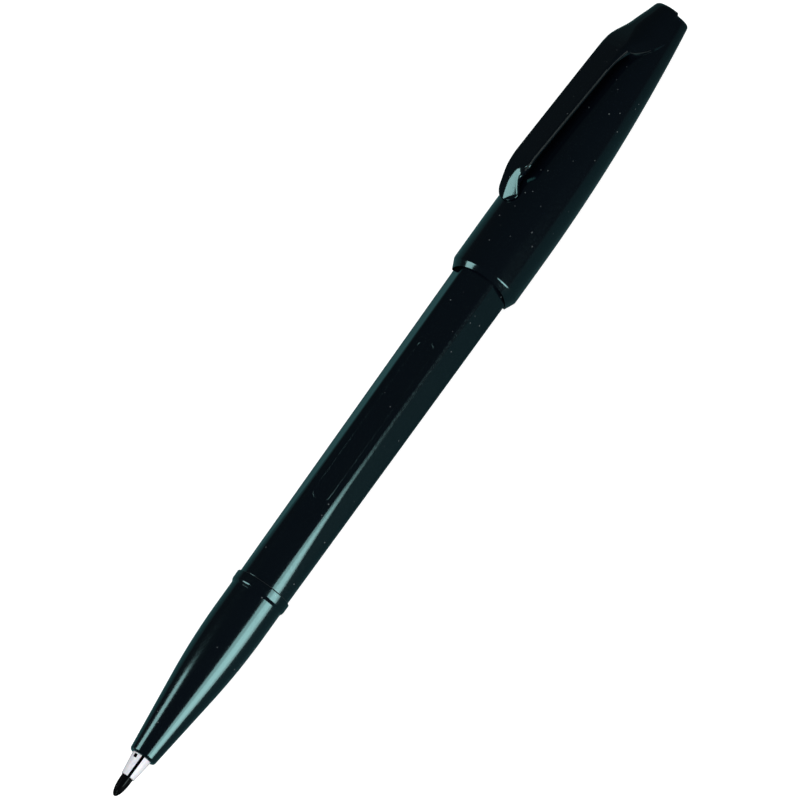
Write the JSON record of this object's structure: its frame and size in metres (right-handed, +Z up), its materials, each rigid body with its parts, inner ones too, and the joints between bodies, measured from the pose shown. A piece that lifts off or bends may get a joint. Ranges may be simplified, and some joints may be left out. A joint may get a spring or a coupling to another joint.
{
  "type": "felt-tip pen",
  "caption": "Slim black felt-tip pen with a hexagonal barrel, a tapered grip, a fibre tip in a pale nose, and a cap with a springy pocket clip posted on its rear end.",
  "frame": {"origin": "on the table under the middle of the lying pen: the centre of its footprint, at the height of the cap's lowest line", "axes": "+X along the pen from the writing tip to the cap's end, +Z up and square to one flat of the barrel, +Y to the side that the clip leans towards"},
  "size_m": [0.1488, 0.0124, 0.0137],
  "materials": {
    "black_plastic": "polished moulded plastic, black with a cool sheen",
    "nose_plastic": "satin, slightly translucent white",
    "liner_plastic": "soft natural plastic",
    "inked_fibre": "pressed fibre soaked with black ink, slightly shiny",
    "soaked_fibre": "fibre bundle soaked with black ink",
    "clear_film": "thin clear film"
  },
  "bodies": {
    "pen_body": {"barrel": "black_plastic", "grip_section": "black_plastic", "tip_holder": "nose_plastic", "fibre_tip": "inked_fibre", "ink_reservoir": "soaked_fibre", "reservoir_wrap": "clear_film", "tail_plug": "black_plastic"},
    "cap": {"cap_shell": "black_plastic", "inner_cap": "liner_plastic"},
    "clip": {"pocket_clip": "black_plastic"}
  },
  "joints": [
    {"name": "cap_slide", "type": "slide", "parent": "pen_body", "child": "cap", "axis": [1, 0, 0], "range_m": [0, 0.035]},
    {"name": "clip_flex", "type": "hinge", "parent": "cap", "child": "clip", "pos_m": [0.06509, 0.00301, 0.01061], "axis": [0, 0.8192, -0.5736], "range_deg": [0, 4], "stiffness_Nm_per_rad": 1.7}
  ]
}
